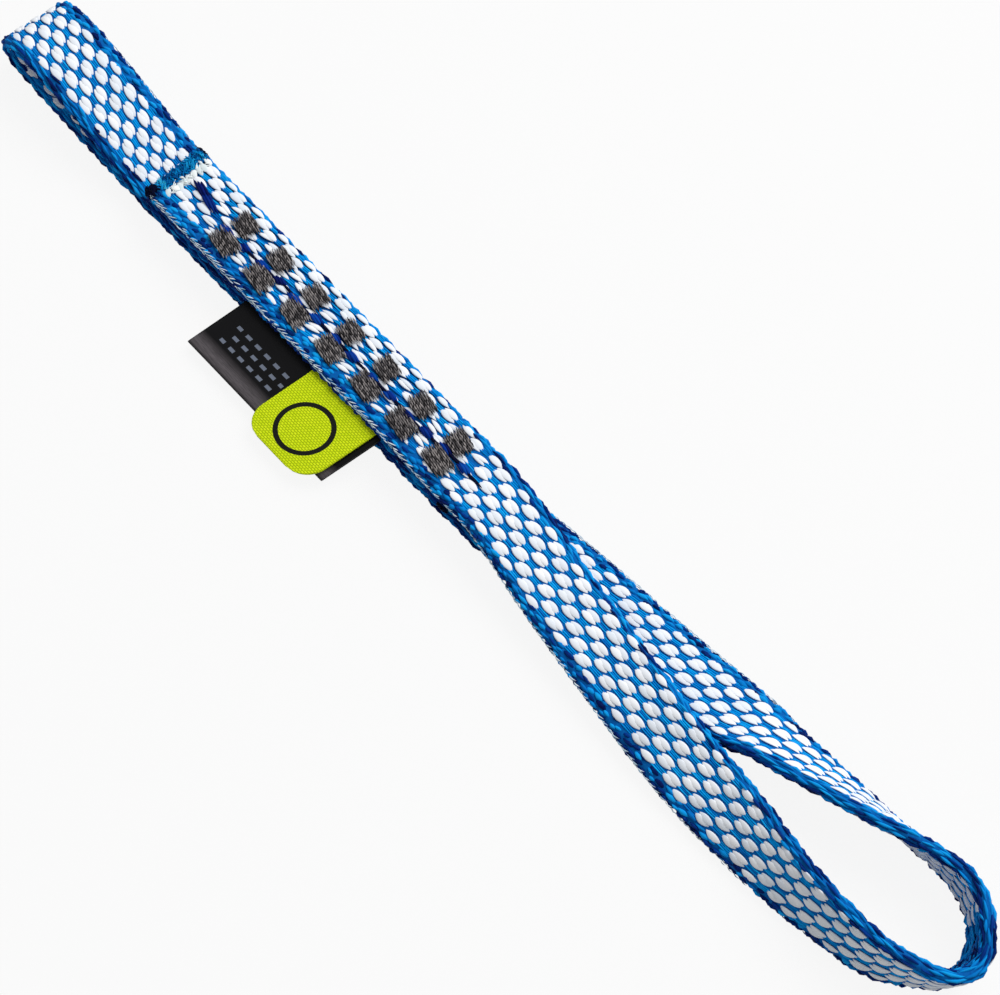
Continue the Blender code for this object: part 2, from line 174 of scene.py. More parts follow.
BLUE_DEPTH = 0.00020
BLUE_DIP = 0.00012
BLUE_SHIFT = Shift(0.0001, 0.00003, 0.06, 0.1, 0.03, 0.00004)
BLUE_SQUEEZED = Shift(slant=0.3)
GROUND_HEIGHT = 0.00076    # of the dark cloth under the strands
STRAND_DIP = 0.00024       # how far a strand's ends lie below its middle
SQUEEZE_REACH = 0.0033     # across the tape, where the bar tacks squeeze the strands
SQUEEZE_SHARE = 0.62
FACE_OVERLAP = 0.004       # how far the yarn of an inner face runs on between the plies

# Jumbled yarn where the inside of the far bend is pinched
CRUMPLE_START = 0.1580     # along the large run
CRUMPLE_END = 0.1705
CRUMPLE_COUNT = 150
CRUMPLE_LENGTH = 0.0022
CRUMPLE_WIDTH = 0.00055
CRUMPLE_SIZE_SHARE = 0.4
CRUMPLE_SLANT = 0.9
CRUMPLE_BOW = 0.0003
CRUMPLE_RISE = (-0.0001, 0.0002)

# How far the weave lies off the middle of the upper face, by the distance along each run
LARGE_RUN_DRIFT = (
    (0.000, 0.0009),
    (0.051, 0.0009),
    (0.060, 0.0002),
    (0.073, -0.00035),
    (0.082, 0.0),
    (0.095, 0.00045),
    (0.110, 0.0006),
    (0.128, 0.0001),
)
SMALL_RUN_DRIFT = ((0, 0.0003),)

# How far an edge swells, by the distance along the run
NO_SWELL = ((0, 0),)
SMALL_RUN_SWELL = ((0.036, 0), (0.048, 0.0009), (0.100, 0.0008), (0.108, 0))

# Edges
PLAIN_RIM = Rim(1, WEAVE_PERIOD / 2, 0.0030, 0.00050, 0.05)
KNIT_RIM = Rim(-1, WEAVE_PERIOD / 3, 0.0018, 0.00064, 0.12)
RIM_TOP = 0.00114
RIM_DEPTH = 0.00034
RIM_ROWS = 8
RIM_OVERLAP = 0.00016      # how far the outermost rows lie past the rounded edge
RIM_SHIFT = Shift(0.0005, 0.0001, 0.3, 0.3, 0.18, 0.0001)
NAVY_SHARE = 0.30          # of the strands of a rim that face up
NAVY_PAINTED_SHADE_SHARE = 0.36    # painted shade: how much more of those that face down than of those that face sideways are navy
NAVY_TONES = (0, 0.3)
AZURE_TONES = (0.55, 1)
KNIT_PITCH = WEAVE_PERIOD / 6
KNIT_WIDTH = 0.00016
KNIT_DIP = 0.00014
KNIT_SHIFT = Shift(0.00014, 0.00006, 0.25, 0.3, 0.16)
# Rows of the edge thread: the place round the edge from where the flat face ends, the length, the
# slant, the height, and the share of the ticks that are pulled under the rim
KNIT_ROWS = (
    (0.00145, 0.00120, 0.42, 0.00124, 0.15),
    (0.00165, 0.00096, 0.14, 0.00124, 0.60),
    (0.00192, 0.00150, 0.10, 0.00114, 0),
)

# Cut ends
END_REACH = 0.0007         # how far the loose fibres stand past the tape's last stitch
END_BAND = 0.0021          # how wide the band of fibres is along the tape
END_CROWD_POWER = 0.9      # under 1 crowds the fibres towards the tape
END_FIBRE_COUNT = 420
END_LUMP_PLACE = 0.0019
END_LUMP_LENGTH = 0.0018
END_LUMP_SHIFT = 0.0003
END_LUMP_SIDE_SHIFT = 0.0002
END_SMEAR_COUNT = 26       # small white wisps between the lumps
END_SMEAR_SHIFT = 0.0007
END_BLOT = 0.0008          # across the tape, one clump of fibres of one tone
END_BLOT_SHARE = 0.6       # of the range of tones, how far the clumps differ
END_TUFT_COUNT = 150
END_TUFT_REACH = 0.0014    # along the dark corners of the cut
END_TUFT_INSET = 0.0011
END_TUFT_BAND = 0.0019
END_DIP = 0.0002
FIBRE = EndKind(0.0010, (0.5, 1.2), 0.00022, (0.7, 1.5), (0.0009, 0.00125), 1.6, 0.0002)
LUMP = EndKind(END_LUMP_LENGTH, (0.8, 1.2), LINE_PITCH, (0.95, 1.3), (0.0010, 0.0012), 0.5, 0)
SMEAR = EndKind(END_LUMP_LENGTH, (0.3, 0.7), LINE_PITCH, (0.3, 0.5), (0.0011, 0.00122), 1.6, 0.0002)
TUFT = EndKind(0.0010, (0.6, 1.3), 0.00022, (0.8, 1.5), (0.00105, 0.0014), 1.6, 0.0002)

# Facets of a strand
LONG_SHARES = (-1.0, -0.86, -0.62, -0.32, 0.0, 0.32, 0.62, 0.86, 1.0)
SHORT_SHARES = (-1.0, -0.6, 0.0, 0.6, 1.0)
SWELL_POWER = 2.1          # how suddenly a strand swells from its points
POINT_SHARE = 0.05         # of its width, kept at its points
ROUND_STEPS = 7
ROUND_START_DEG = -25
ROUND_END_DEG = 205
ROUND_POWER = 0.8          # under 1 flattens a strand's back and squares its sides
GROUND_SIDES = 5

# Bar tacks
TACK_ROWS = 7
TACK_FIRST_ROW = SMALL_HINGE_X + 0.01625
TACK_LAST_ROW = LARGE_HINGE_X - 0.00863
TACK_COLUMN_OFFSET = 0.00198
TACK_LENGTH = 0.0050
TACK_STITCH_LENGTHS = {"upper": 0.0038, "lower": 0.0046}
TACK_WIDTH = 0.0031
TACK_THREADS = 10
TACK_TURN_DEG = -8
TACK_RAGGED = 0.0003       # how unevenly the threads end
TACK_CROWN = 0.00012
# Each tack thread's core is near-black and shows between its plies as painted shade
TACK_SHADE_CORE_TOP = 0.00018
TACK_SHADE_CORE_DEPTH = 0.0002
TACK_SHADE_CORE_SHARE = 1.3      # of the space between two threads
TACK_PLY_PITCH = 0.00034
TACK_PLY_LENGTH = 0.00085
TACK_PLY_WIDTH = 0.00019
TACK_PLY_SLANT = -0.26
TACK_PLY_TOP = 0.00046
TACK_PLY_DIP = 0.0001
TACK_SHIFT = Shift(0.00004, 0.00004, 0.12, 0, 0.08, 0.00004)
TACK_SINK = 0.0001         # of the threads into the top ply
TACK_UNDER_Z = 0.00047     # where those on the underside begin
PAINTED_SHADE_TONE = -1               # a tone below the range, which shows the darkest colour, as painted shade

# Seam
SEAM_FIRST = -0.0207       # along X, the middle of the first short stitch
SEAM_PITCH = 0.0039
SEAM_COUNT = 14
SEAM_LENGTH = 0.0026
SEAM_LENGTH_SHARE = 0.2
SEAM_PLY_WIDTH = 0.00056
SEAM_PLY_PITCH = 0.00030
SEAM_PLY_DROP = 0.0001     # of the outer plies below the middle one
SEAM_TWIST = -0.14
SEAM_TURN = 0.06
SEAM_TOP = 0.00046
SEAM_DEPTH = 0.00040
SEAM_DIP = 0.0003
SEAM_SHIFT = Shift(along=0.0001, length_share=0.1, top=0.00006)
SEAM_TONE = 0.5
SEAM_TONE_SHIFT = 0.25
# A thin near-black line along the seam, painted shade in its groove
SEAM_SHADE_LINE_WIDTH = 0.00045
SEAM_SHADE_LINE_TOP = 0.00014
SEAM_OFF = -0.0003         # across the tape
SEAM_OFF_SHIFT = 0.00025
SEAM_PLACE_SHIFT = 0.0004
SEAM_START = -0.0299       # the long double stitch at the cut end
SEAM_START_LENGTH = 0.0042
SEAM_START_STEP = 0.0022   # from its first half to its second
SEAM_START_OFF = 0.0011
SEAM_START_SLANT = -0.12
SEAM_START_TONE = 0.35

# Labels
LABEL_SPACING = 0.0011
LABEL_DROOP_DEG = 18.0
LABEL_SKEW_SHARE = 0.21
LABEL_TAIL_DEPTH = 0.0021
LABEL_GAP_Z = (MIDDLE_Z + TOP_Z) / 2
BLACK_LABEL_START = -0.0112
BLACK_LABEL_LENGTH = 0.0291
BLACK_LABEL_DROP = 0.0090
BLACK_LABEL_FOLD = 0.00035
RIBBON_INSET = 0.0001      # of the ribbon within the fold's outline
RIBBON_THICKNESS = 0.00018
RIBBON_STEPS = 12
RIBBON_TAIL_STEPS = 3
RIBBON_FOLD_STEPS = 8
RIBBON_COLUMNS = 40
YELLOW_LABEL_START = 0.0038
YELLOW_LABEL_LENGTH = 0.0134
YELLOW_LABEL_DROP = 0.0115
YELLOW_LABEL_CORNER = 0.0037
YELLOW_LABEL_THICKNESS = 0.0005
YELLOW_ROWS = 60
YELLOW_COLUMNS = 56

# Patterns on the labels, in millimetres from the corner of each
MILLIMETRES = (1000, 1000, 1000)
YELLOW_CELL = (0.52, 0.34)         # one crossing of its weave
YELLOW_GROOVE = 0.08
YELLOW_GROOVE_SOFTNESS = 0.7
RING_CENTRE = (6.7, 5.9, 0.0)      # of the plain printed ring
RING_RADIUS = 3.9
RING_LINE = 0.36                   # half the width of the line
BAR_CELL = (2.0, 1.5)              # of the plain printed bars
BAR_GROOVE = 0.48
BAR_PLACE = (2.6, 14.2)            # where they lie along the label
BAR_DROP = (1.6, 6.1)              # and down it
UPPER_SIDE = (0, 1)                # above the ribbon's middle

# Yarns: roughness, relief, how often the fibres change along a strand in metres, round it and from
# strand to strand, and tones from the darkest to the lightest
FIBRE_STRETCH = (1500, 2.3, 70)
THICK_STRETCH = (1500, 6.0, 70)
YARNS = {
    "white_yarn": (0.8, 0.12, FIBRE_STRETCH, ((222, 229, 238), (243, 245, 249))),
    "azure_yarn": (0.7, 0.3, FIBRE_STRETCH, ((0, 98, 186), (0, 150, 228), (14, 170, 242))),
    "rim_yarn": (0.7, 0.3, FIBRE_STRETCH, ((0, 6, 62), (0, 56, 140), (0, 124, 204), (16, 160, 232))),
    "edge_thread": (0.65, 0.3, FIBRE_STRETCH, ((128, 172, 200), (236, 246, 250))),
    "end_fibre": (0.75, 0.3, FIBRE_STRETCH, ((0, 16, 76), (0, 88, 158), (0, 142, 204), (70, 188, 214))),
    "end_lump": (0.8, 0.3, FIBRE_STRETCH, ((190, 208, 214), (248, 249, 247))),
    "end_tuft": (0.75, 0.3, FIBRE_STRETCH, ((0, 2, 14), (2, 8, 44))),
    "grey_thread": (0.65, 0.3, FIBRE_STRETCH, ((12, 11, 14), (84, 81, 83), (156, 150, 149))),
    "blue_thread": (0.6, 0.3, THICK_STRETCH, ((0, 2, 34), (0, 18, 92), (0, 54, 146), (10, 88, 180))),
}
YARN_SPECULAR = 0.06
FIBRE_SHARE = 0.3                  # of a tone, from the fibres, the rest being the strand's own
FIBRE_RELIEF = 0.0001
RAMP_START_SHARE = 0.12            # of the range of tones, kept at the darkest and the lightest colour

# Other cloth: roughness, specular, relief; then noises by scale, detail and roughness, and colours
GROUND_CLOTH = (0.85, 0.1, 0.3)
YELLOW_CLOTH = (0.75, 0.15, 0.5)
SATIN_CLOTH = (0.5, 0.1, 0.25)
FIBRE_NOISE = (1.0, 2.0, 0.6)
GROUND_NOISE = (2500.0, 3.0, 0.6)
SATIN_NOISE = (1.0, 3.0, 0.7)
SATIN_STRETCH = (0.6, 9.0, 1.0)
GROUND_TONES = ((0, 58, 134), (0, 112, 188))
# Two tones of the yellow cells, and last the grooves' darker colour, which is painted shade
YELLOW_TONES_AND_GROOVE_SHADE = ((232, 250, 26), (214, 238, 10), (168, 192, 0))
RING_COLOUR = (12, 14, 8)
BLACK_TONES = ((1, 1, 2), (9, 9, 12))
# Painted sheen: the greys of the band along the ribbon's fold
PAINTED_SHEEN_TONES = ((22, 20, 24), (122, 116, 120))
PAINTED_SHEEN_SHARES = ((0.66, 0.0), (0.86, 1.0), (0.94, 0.8), (0.985, 0.0))   # painted sheen, down the ribbon to its fold
BAR_COLOUR = (112, 120, 136)
BAR_MASK = ((255, 255, 255), (255, 255, 255), (0, 0, 0))

# Camera
LOOK_POINT = Vector((0.03435, 0.00266, 0.0))
CAMERA_TURN_DEG = 47.76
CAMERA_TILT_DEG = 22.0
CAMERA_DISTANCE = 0.420
CAMERA_NEAR = 0.01
LENS_LENGTH = 107.35
SENSOR_WIDTH = 36

# Floor and light
FLOOR_SIZE = 1.6
FLOOR_DROP = 0.0001
FLOOR_CLOTH = (0.9, 0.1)
FLOOR_COLOUR = (0.6, 0.6, 0.6, 1)
FLOOR_CLEAR_SHARE = 0.90           # of the white surround that is seen through the floor
LAMP_PLACE = Vector((0.0, 0.38, 0.50))     # from the point that the camera looks at
LAMP_SIZE = 0.5
LAMP_POWER = 3.9
SURROUND = 0.40


def linear(red, green, blue):
    """A screen colour, from 0 to 255 each, as the shader takes it."""
    shares = [value / 255 for value in (red, green, blue)]
    return [s / 12.92 if s <= 0.04045 else ((s + 0.055) / 1.055) ** 2.4 for s in shares]


def smooth_curve(points, steps):
    """A natural cubic spline through rows of values, spaced by the distance in the first two."""
    rows = np.array(points, float)
    knots = np.concatenate(([0], np.cumsum(np.linalg.norm(np.diff(rows[:, :2], axis=0), axis=1))))
    gaps = np.diff(knots)
    count = len(knots)
    matrix = np.eye(count)
    target = np.zeros_like(rows)
    for i in range(1, count - 1):
        matrix[i, i - 1:i + 2] = gaps[i - 1], 2 * (gaps[i - 1] + gaps[i]), gaps[i]
        target[i] = 6 * ((rows[i + 1] - rows[i]) / gaps[i] - (rows[i] - rows[i - 1]) / gaps[i - 1])
    bend = np.linalg.solve(matrix, target)
    curve = []
    for place in np.linspace(0, knots[-1], steps + 1):
        i = min(max(int(np.searchsorted(knots, place)) - 1, 0), count - 2)
        after, before = knots[i + 1] - place, place - knots[i]
        curve.append(
            (bend[i] * after**3 + bend[i + 1] * before**3) / (6 * gaps[i])
            + (rows[i] / gaps[i] - bend[i] * gaps[i] / 6) * after
            + (rows[i + 1] / gaps[i] - bend[i + 1] * gaps[i] / 6) * before
        )
    return np.array(curve)


def unit(vectors):
    """Rows of vectors at length one."""
    return vectors / np.linalg.norm(vectors, axis=-1, keepdims=True)


class Route:
    """A line with the directions across and through the tape, by the distance along it."""

    def __init__(self, centres, across, through, density=1.0, drift=((0, 0),), half_flat=TAPE_WIDTH):
        steps = np.linalg.norm(np.diff(centres, axis=0), axis=1)
        density = np.broadcast_to(density, len(centres))
        self.along = np.concatenate(([0], np.cumsum(steps)))
        self.pattern = np.concatenate(([0], np.cumsum(steps * density[1:])))
        self.length = self.along[-1]
        self.drift = np.interp(self.along, *np.transpose(drift))
        self.ends = unit(centres[[1, -1]] - centres[[0, -2]])
        self.centres = centres
        self.across = across
        self.through = through
        self.half_flat = half_flat

    def distance(self, pattern):
        """How far along the route a place of the weave lies."""
        return float(np.interp(pattern, self.pattern, self.along))

    def read(self, rows, along):
        """Rows of the route's values, read between its points."""
        return np.stack([np.interp(along, self.along, rows[:, i]) for i in range(3)], axis=-1)

    def place(self, along, wrap, height, face=1):
        """World points of places on one face of the tape and round its rims."""
        wrap = wrap + face * np.interp(along, self.along, self.drift)
        reach = np.abs(wrap)
        turn = np.clip((reach - self.half_flat) / HALF_THICKNESS, 0, math.pi)
        past = np.maximum(reach - self.half_flat - math.pi * HALF_THICKNESS, 0)
        flat = np.minimum(reach, self.half_flat) - past
        across = np.sign(wrap) * (flat + height * np.sin(turn))
        through = face * height * np.cos(turn)
        before = np.minimum(along, 0)[..., None] * self.ends[0]
        after = np.maximum(along - self.length, 0)[..., None] * self.ends[1]
        centre = self.read(self.centres, along) + before + after
        sideways = self.read(self.across, along) * across[..., None]
        points = centre + sideways + self.read(self.through, along) * through[..., None]
        points[..., 2] = np.maximum(points[..., 2], 0)
        return points


def straight(start, end):
    """Points from one place to another at the route's pitch, the end left out."""
    start, end = np.array(start), np.array(end)
    count = max(int(np.linalg.norm(end - start) / ROUTE_PITCH), 1)
    return [start + (end - start) * i / count for i in range(count)]


def sewn_density(centres):
    """How closely the weave lies at each point of a route."""
    places = (SMALL_HINGE_X - FOLD_START, SMALL_HINGE_X, SEWN_FADE_START, SEWN_FADE_END)
    return np.interp(centres[:, 0], places, (1, SEWN_DENSITY, SEWN_DENSITY, 1))


def large_route():
    """From the cut end over the top ply, round the large loop to the middle of the bottom ply."""
    lift = TOP_Z - BOTTOM_Z
    shares = LARGE_LOOP_SHARES
    lead = LARGE_KNUCKLE + OVERRUN
    table = [(x * LARGE_LOOP_LENGTH, y * LARGE_LOOP_SPREAD, roll, rise) for x, y, roll, rise in shares]
    table = [(-lead, 0, *shares[0][2:]), *table, (-lead, 0, *shares[-1][2:])]
    curve = smooth_curve(table, ROUTE_STEPS)
    roll = np.maximum(curve[:, 2], 0) * math.pi / 2
    rise = lift * np.clip(curve[:, 3], 0, 1)
    height = HALF_THICKNESS + (HALF_WIDTH - HALF_THICKNESS) * np.sin(roll) + rise
    loop = np.column_stack((curve[:, 0] + LARGE_HINGE_X, curve[:, 1], height))
    start_x = SMALL_HINGE_X + CUT_END_SETBACK
    before = straight((start_x, 0, TOP_Z), loop[0])
    after = straight(loop[-1] - np.array((ROUTE_PITCH, 0, 0)), (0, 0, BOTTOM_Z)) + [(0, 0, BOTTOM_Z)]
    centres = np.vstack((before, loop, after))
    roll = np.concatenate((np.zeros(len(before)), roll, np.zeros(len(after))))[:, None]
    tangents = unit(np.gradient(centres, axis=0))
    level = unit(np.cross((0, 0, 1), tangents))
    square = np.cross(tangents, level)
    across = np.cos(roll) * level + np.sin(roll) * square
    upright = np.clip(roll[:, 0] / (BEND_ROLL_SHARE * math.pi / 2), 0, 1)
    density = sewn_density(centres) + (BEND_DENSITY - 1) * upright
    return Route(centres, across, np.cross(tangents, across), density, LARGE_RUN_DRIFT, HALF_FLAT)


def small_route():
    """From the middle of the bottom ply round the small loop and along the middle ply."""
    lead = SMALL_KNUCKLE + OVERRUN
    table = [(x * SMALL_LOOP_LENGTH, BOTTOM_Z + z * SMALL_LOOP_HEIGHT) for x, z in SMALL_LOOP_SHARES]
    table = [(-lead, MIDDLE_Z), (0, MIDDLE_Z), *table, (0, BOTTOM_Z), (-lead, BOTTOM_Z)]
    curve = smooth_curve(table, ROUTE_STEPS)[::-1]
    share = (curve[:, 0] / SMALL_LOOP_LENGTH - SKEW_START_SHARE) / (SKEW_END_SHARE - SKEW_START_SHARE)
    share = np.clip(share, 0, 1)
    loop = np.column_stack((SMALL_HINGE_X - curve[:, 0], share * SMALL_LOOP_LEAN, curve[:, 1]))
    before = straight((0, 0, BOTTOM_Z), loop[0])
    end = (LARGE_HINGE_X - LARGE_KNUCKLE - 2 * CLEARANCE, 0, MIDDLE_Z)
    after = straight(loop[-1] + np.array((ROUTE_PITCH, 0, 0)), end) + [end]
    centres = np.vstack((before, loop, after))
    skew = np.concatenate((np.zeros(len(before)), share, np.zeros(len(after)))) * TIP_SKEW_SHARE
    across = -np.column_stack((skew, np.ones(len(skew)), np.zeros(len(skew))))
    tangents = unit(np.gradient(centres, axis=0))
    through = unit(np.cross(tangents, across))
    return Route(centres, across, through, sewn_density(centres), SMALL_RUN_DRIFT, HALF_FLAT)


def jitter(size):
    """A small chance shift, up to the given size either way. Zero takes no draw."""
    return RANDOM.uniform(-size, size) if size else 0


def shifted(strand, shift, squeezed=Shift(), loose=0):
    """A strand moved by chance, and further where the bar tacks squeeze it."""
    return strand._replace(
        along=strand.along + jitter(shift.along),
        across=strand.across + jitter(shift.across) + loose * jitter(squeezed.across),
        length=strand.length * (1 + jitter(shift.length_share)),
        width=strand.width * (1 + jitter(shift.width_share)),
        slant=strand.slant + jitter(shift.slant) + loose * jitter(squeezed.slant),
        top=strand.top + jitter(shift.top),
    )


def strand_arrays(route, strands, shares=LONG_SHARES, tones=None):
    """Points, faces and shading values of pointed strands, flat underneath."""
    table = np.array(strands)
    along, across, length, width, top, depth, face, slant, bow, dip = table.T[:, :, None, None]
    share = np.array(shares)[None, :, None]
    angle = np.radians(np.linspace(ROUND_START_DEG, ROUND_END_DEG, ROUND_STEPS))[None, None, :]
    wide = np.sign(np.cos(angle)) * np.abs(np.cos(angle)) ** ROUND_POWER
    tall = np.sign(np.sin(angle)) * np.abs(np.sin(angle)) ** ROUND_POWER
    swell = np.maximum(1 - np.abs(share) ** SWELL_POWER, POINT_SHARE)
    run = share * length / 2
    middle = 1 - share**2
    sideways = across + slant * run + bow * middle + width / 2 * swell * wide * face
    height = top - depth - dip * (1 - middle) + depth * swell * tall
    points = route.place(along + run + 0 * angle, sideways, height, face + 0 * height)
    rings = len(shares)
    numbers = np.arange(rings * ROUND_STEPS).reshape(rings, ROUND_STEPS)
    following = np.roll(numbers, -1, axis=1)
    quads = np.stack((numbers[:-1], following[:-1], following[1:], numbers[1:]), axis=-1).reshape(-1, 4)
    ends = (numbers[0][::-1].tolist(), numbers[-1].tolist())
    step = rings * ROUND_STEPS
    faces = []
    for i in range(len(strands)):
        faces += (quads + i * step).tolist()
        faces += [[n + i * step for n in end] for end in ends]
    if tones is None:
        tones = RANDOM.random(len(strands))
    tone = np.array(tones)[:, None, None]
    shade = np.stack(np.broadcast_arrays(run, angle, tone), axis=-1)
    return points.reshape(-1, 3), faces, shade.reshape(-1, 3)


def new_object(name, points, faces, material, shade=None):
    """A smooth mesh object with one material and the shading values of its points."""
    mesh = bpy.data.meshes.new(name)
    mesh.from_pydata(np.asarray(points).tolist(), [], faces)
    mesh.materials.append(material)
    mesh.shade_smooth()
    if shade is not None:
        attribute = mesh.attributes.new("pattern", "FLOAT_VECTOR", "POINT")
        attribute.data.foreach_set("vector", np.asarray(shade, dtype=np.float32).ravel())
    obj = bpy.data.objects.new(name, mesh)
    bpy.context.scene.collection.objects.link(obj)
    return obj


def strands_object(name, route, strands, material, shares=SHORT_SHARES, tones=None):
    """One piece made of many strands."""
    points, faces, shade = strand_arrays(route, strands, shares, tones)
    return new_object(name, points, faces, material, shade)


def feed(tree, socket, value):
    """Set an input to a value, or link it to another node's output."""
    if isinstance(value, bpy.types.NodeSocket):
        tree.links.new(value, socket)
    else:
        socket.default_value = value


def node(tree, kind, *inputs, **values):
    """A new node with its first inputs in order, then properties and inputs by name, _ for a space."""
    made = tree.nodes.new(kind)
    named = {key: value for key, value in values.items() if not hasattr(made, key)}
    for key in values.keys() - named.keys():
        setattr(made, key, values[key])
    for socket, value in zip(made.inputs, inputs):
        feed(tree, socket, value)
    for key, value in named.items():
        feed(tree, made.inputs[key.replace("_", " ")], value)
    return made


def calculate(tree, operation, *inputs):
    """The result of a sum on values, each a number or another node's output."""
    return node(tree, "ShaderNodeMath", *inputs, operation=operation).outputs["Value"]


def between(tree, value, low, high):
    """1 where a value lies between two others, and 0 elsewhere."""
    return calculate(tree, "COMPARE", value, (low + high) / 2, (high - low) / 2)


def mix_colours(tree, share, first, second):
    """A mix of two colours, each another node's output or a screen colour, by a share from 0 to 1."""
    mix = node(tree, "ShaderNodeMix", share, data_type="RGBA")
    for socket, colour in zip(mix.inputs[6:8], (first, second)):
        feed(tree, socket, (*linear(*colour), 1) if isinstance(colour, tuple) else colour)
    return mix.outputs[2]


def ramp(tree, value, stops):
    """The colour at a value, between stops that each give a place and a colour."""
    made = node(tree, "ShaderNodeValToRGB", value)
    elements = made.color_ramp.elements
    while len(elements) < len(stops):
        elements.new(0.5)
    for element, (place, colour) in zip(elements, stops):
        element.position = place
        element.color = (*colour, 1)
    return made.outputs["Color"]


def noise(tree, place, scale, detail, roughness):
    """A soft random pattern."""
    made = node(tree, "ShaderNodeTexNoise", Vector=place, Scale=scale, Detail=detail, Roughness=roughness)
    return made.outputs["Fac"]


def bricks(tree, place, cell, groove, softness, colours):
    """Cells in rows, of two screen colours, with grooves of a third between them."""
    first, second, gap = [(*linear(*colour), 1) for colour in colours]
    return node(
        tree, "ShaderNodeTexBrick", Vector=place, Color1=first, Color2=second, Mortar=gap, Scale=1.0,
        Mortar_Size=groove, Mortar_Smooth=softness, Brick_Width=cell[0], Row_Height=cell[1])


def pattern_place(tree, scale=None):
    """The shading values of a piece's points, scaled along each axis."""
    place = node(tree, "ShaderNodeAttribute", attribute_name="pattern").outputs["Vector"]
    return stretched(tree, place, scale) if scale else place


def stretched(tree, place, scale):
    """A place scaled along each axis."""
    return node(tree, "ShaderNodeMapping", Vector=place, Scale=scale).outputs["Vector"]


def new_material(name, roughness, specular):
    """A new material with its node tree and its shader."""
    material = bpy.data.materials.new(name)
    material.use_nodes = True
    tree = material.node_tree
    shader = tree.nodes["Principled BSDF"]
    shader.inputs["Roughness"].default_value = roughness
    shader.inputs["Specular IOR Level"].default_value = specular
    return material, tree, shader


def cover(tree, shader, colour, height, relief):
    """Give a shader its colour, and fine relief from a pattern's height."""
    bump = node(tree, "ShaderNodeBump", Strength=relief, Distance=FIBRE_RELIEF, Height=height)
    feed(tree, shader.inputs["Base Color"], colour)
    feed(tree, shader.inputs["Normal"], bump.outputs["Normal"])


def yarn_material(name):
    """Fibres that run along each strand, with a tone of its own for each strand, dark to light."""
    roughness, relief, stretch, tones = YARNS[name]
    material, tree, shader = new_material(name, roughness, YARN_SPECULAR)
    place = pattern_place(tree)
    fibres = noise(tree, stretched(tree, place, stretch), *FIBRE_NOISE)
    parts = node(tree, "ShaderNodeSeparateXYZ", place)
    own = calculate(tree, "MULTIPLY", parts.outputs["Z"], 1 - FIBRE_SHARE)
    tone = calculate(tree, "MULTIPLY_ADD", fibres, FIBRE_SHARE, own)
    places = np.linspace(RAMP_START_SHARE, 1 - RAMP_START_SHARE, len(tones))
    stops = [(place, linear(*colour)) for place, colour in zip(places, tones)]
    cover(tree, shader, ramp(tree, tone, stops), fibres, relief)
    return material


def ground_material():
    """The dark cloth under the strands."""
    roughness, specular, relief = GROUND_CLOTH
    material, tree, shader = new_material("navy_ground", roughness, specular)
    grain = noise(tree, node(tree, "ShaderNodeTexCoord").outputs["Object"], *GROUND_NOISE)
    cover(tree, shader, mix_colours(tree, grain, *GROUND_TONES), grain, relief)
    return material


def yellow_material():
    """A plain weave of bright cells and grooves darkened as painted shade, with a plain ring printed on it.
    """
    roughness, specular, relief = YELLOW_CLOTH
    material, tree, shader = new_material("yellow_weave", roughness, specular)
    place = pattern_place(tree, MILLIMETRES)
    cells = bricks(tree, place, YELLOW_CELL, YELLOW_GROOVE, YELLOW_GROOVE_SOFTNESS, YELLOW_TONES_AND_GROOVE_SHADE)
    reach = node(tree, "ShaderNodeVectorMath", place, RING_CENTRE, operation="DISTANCE").outputs["Value"]
    ring = between(tree, reach, RING_RADIUS - RING_LINE, RING_RADIUS + RING_LINE)
    colour = mix_colours(tree, ring, cells.outputs["Color"], RING_COLOUR)
    cover(tree, shader, colour, calculate(tree, "SUBTRACT", 1, cells.outputs["Fac"]), relief)
    return material


def satin_material():
    """Black ribbon of fine long threads, with a painted grey sheen near its fold, and plain printed bars."""
    roughness, specular, relief = SATIN_CLOTH
    material, tree, shader = new_material("black_satin", roughness, specular)
    place = pattern_place(tree, MILLIMETRES)
    threads = noise(tree, stretched(tree, place, SATIN_STRETCH), *SATIN_NOISE)
    along, down, through = node(tree, "ShaderNodeSeparateXYZ", place).outputs
    share = calculate(tree, "DIVIDE", down, BLACK_LABEL_DROP * MILLIMETRES[1])
    # Painted sheen: a grey band in the colour, brightest just before the fold
    painted_sheen = ramp(tree, share, [(place_share, (grey_share,) * 3) for place_share, grey_share in PAINTED_SHEEN_SHARES])
    black = mix_colours(tree, threads, *BLACK_TONES)
    cloth = mix_colours(tree, painted_sheen, black, mix_colours(tree, threads, *PAINTED_SHEEN_TONES))
    printed = bricks(tree, place, BAR_CELL, BAR_GROOVE, 0, BAR_MASK).outputs["Color"]
    for value, limits in ((along, BAR_PLACE), (down, BAR_DROP), (through, UPPER_SIDE)):
        printed = calculate(tree, "MULTIPLY", printed, between(tree, value, *limits))
    cover(tree, shader, mix_colours(tree, printed, cloth, BAR_COLOUR), threads, relief)
    return material


def weave_rows(route, phase, start, end, face):
    """Row number and place along of the white pairs of one face."""
    half = WEAVE_PERIOD / 2 if face < 0 else 0
    low, high = np.interp((start, end), route.along, route.pattern)
    for row in range(LINE_COUNT + 1):
        shift = phase + half - row * ROW_SHIFT_SHARE * WEAVE_PERIOD
        first = math.ceil((low - shift) / WEAVE_PERIOD) - 1
        last = math.floor((high - shift) / WEAVE_PERIOD) + 1
        for number in range(first, last + 1):
            yield row, shift + number * WEAVE_PERIOD


def squeeze(route, along, across, face):
    """How much of its width a strand keeps beside the bar tacks."""
    x = float(np.interp(along, route.along, route.centres[:, 0]))
    off = across + face * float(np.interp(along, route.along, route.drift))
    beside = TACK_FIRST_ROW - TACK_LENGTH < x < TACK_LAST_ROW + TACK_LENGTH
    return SQUEEZE_SHARE if beside and abs(off) < SQUEEZE_REACH else 1


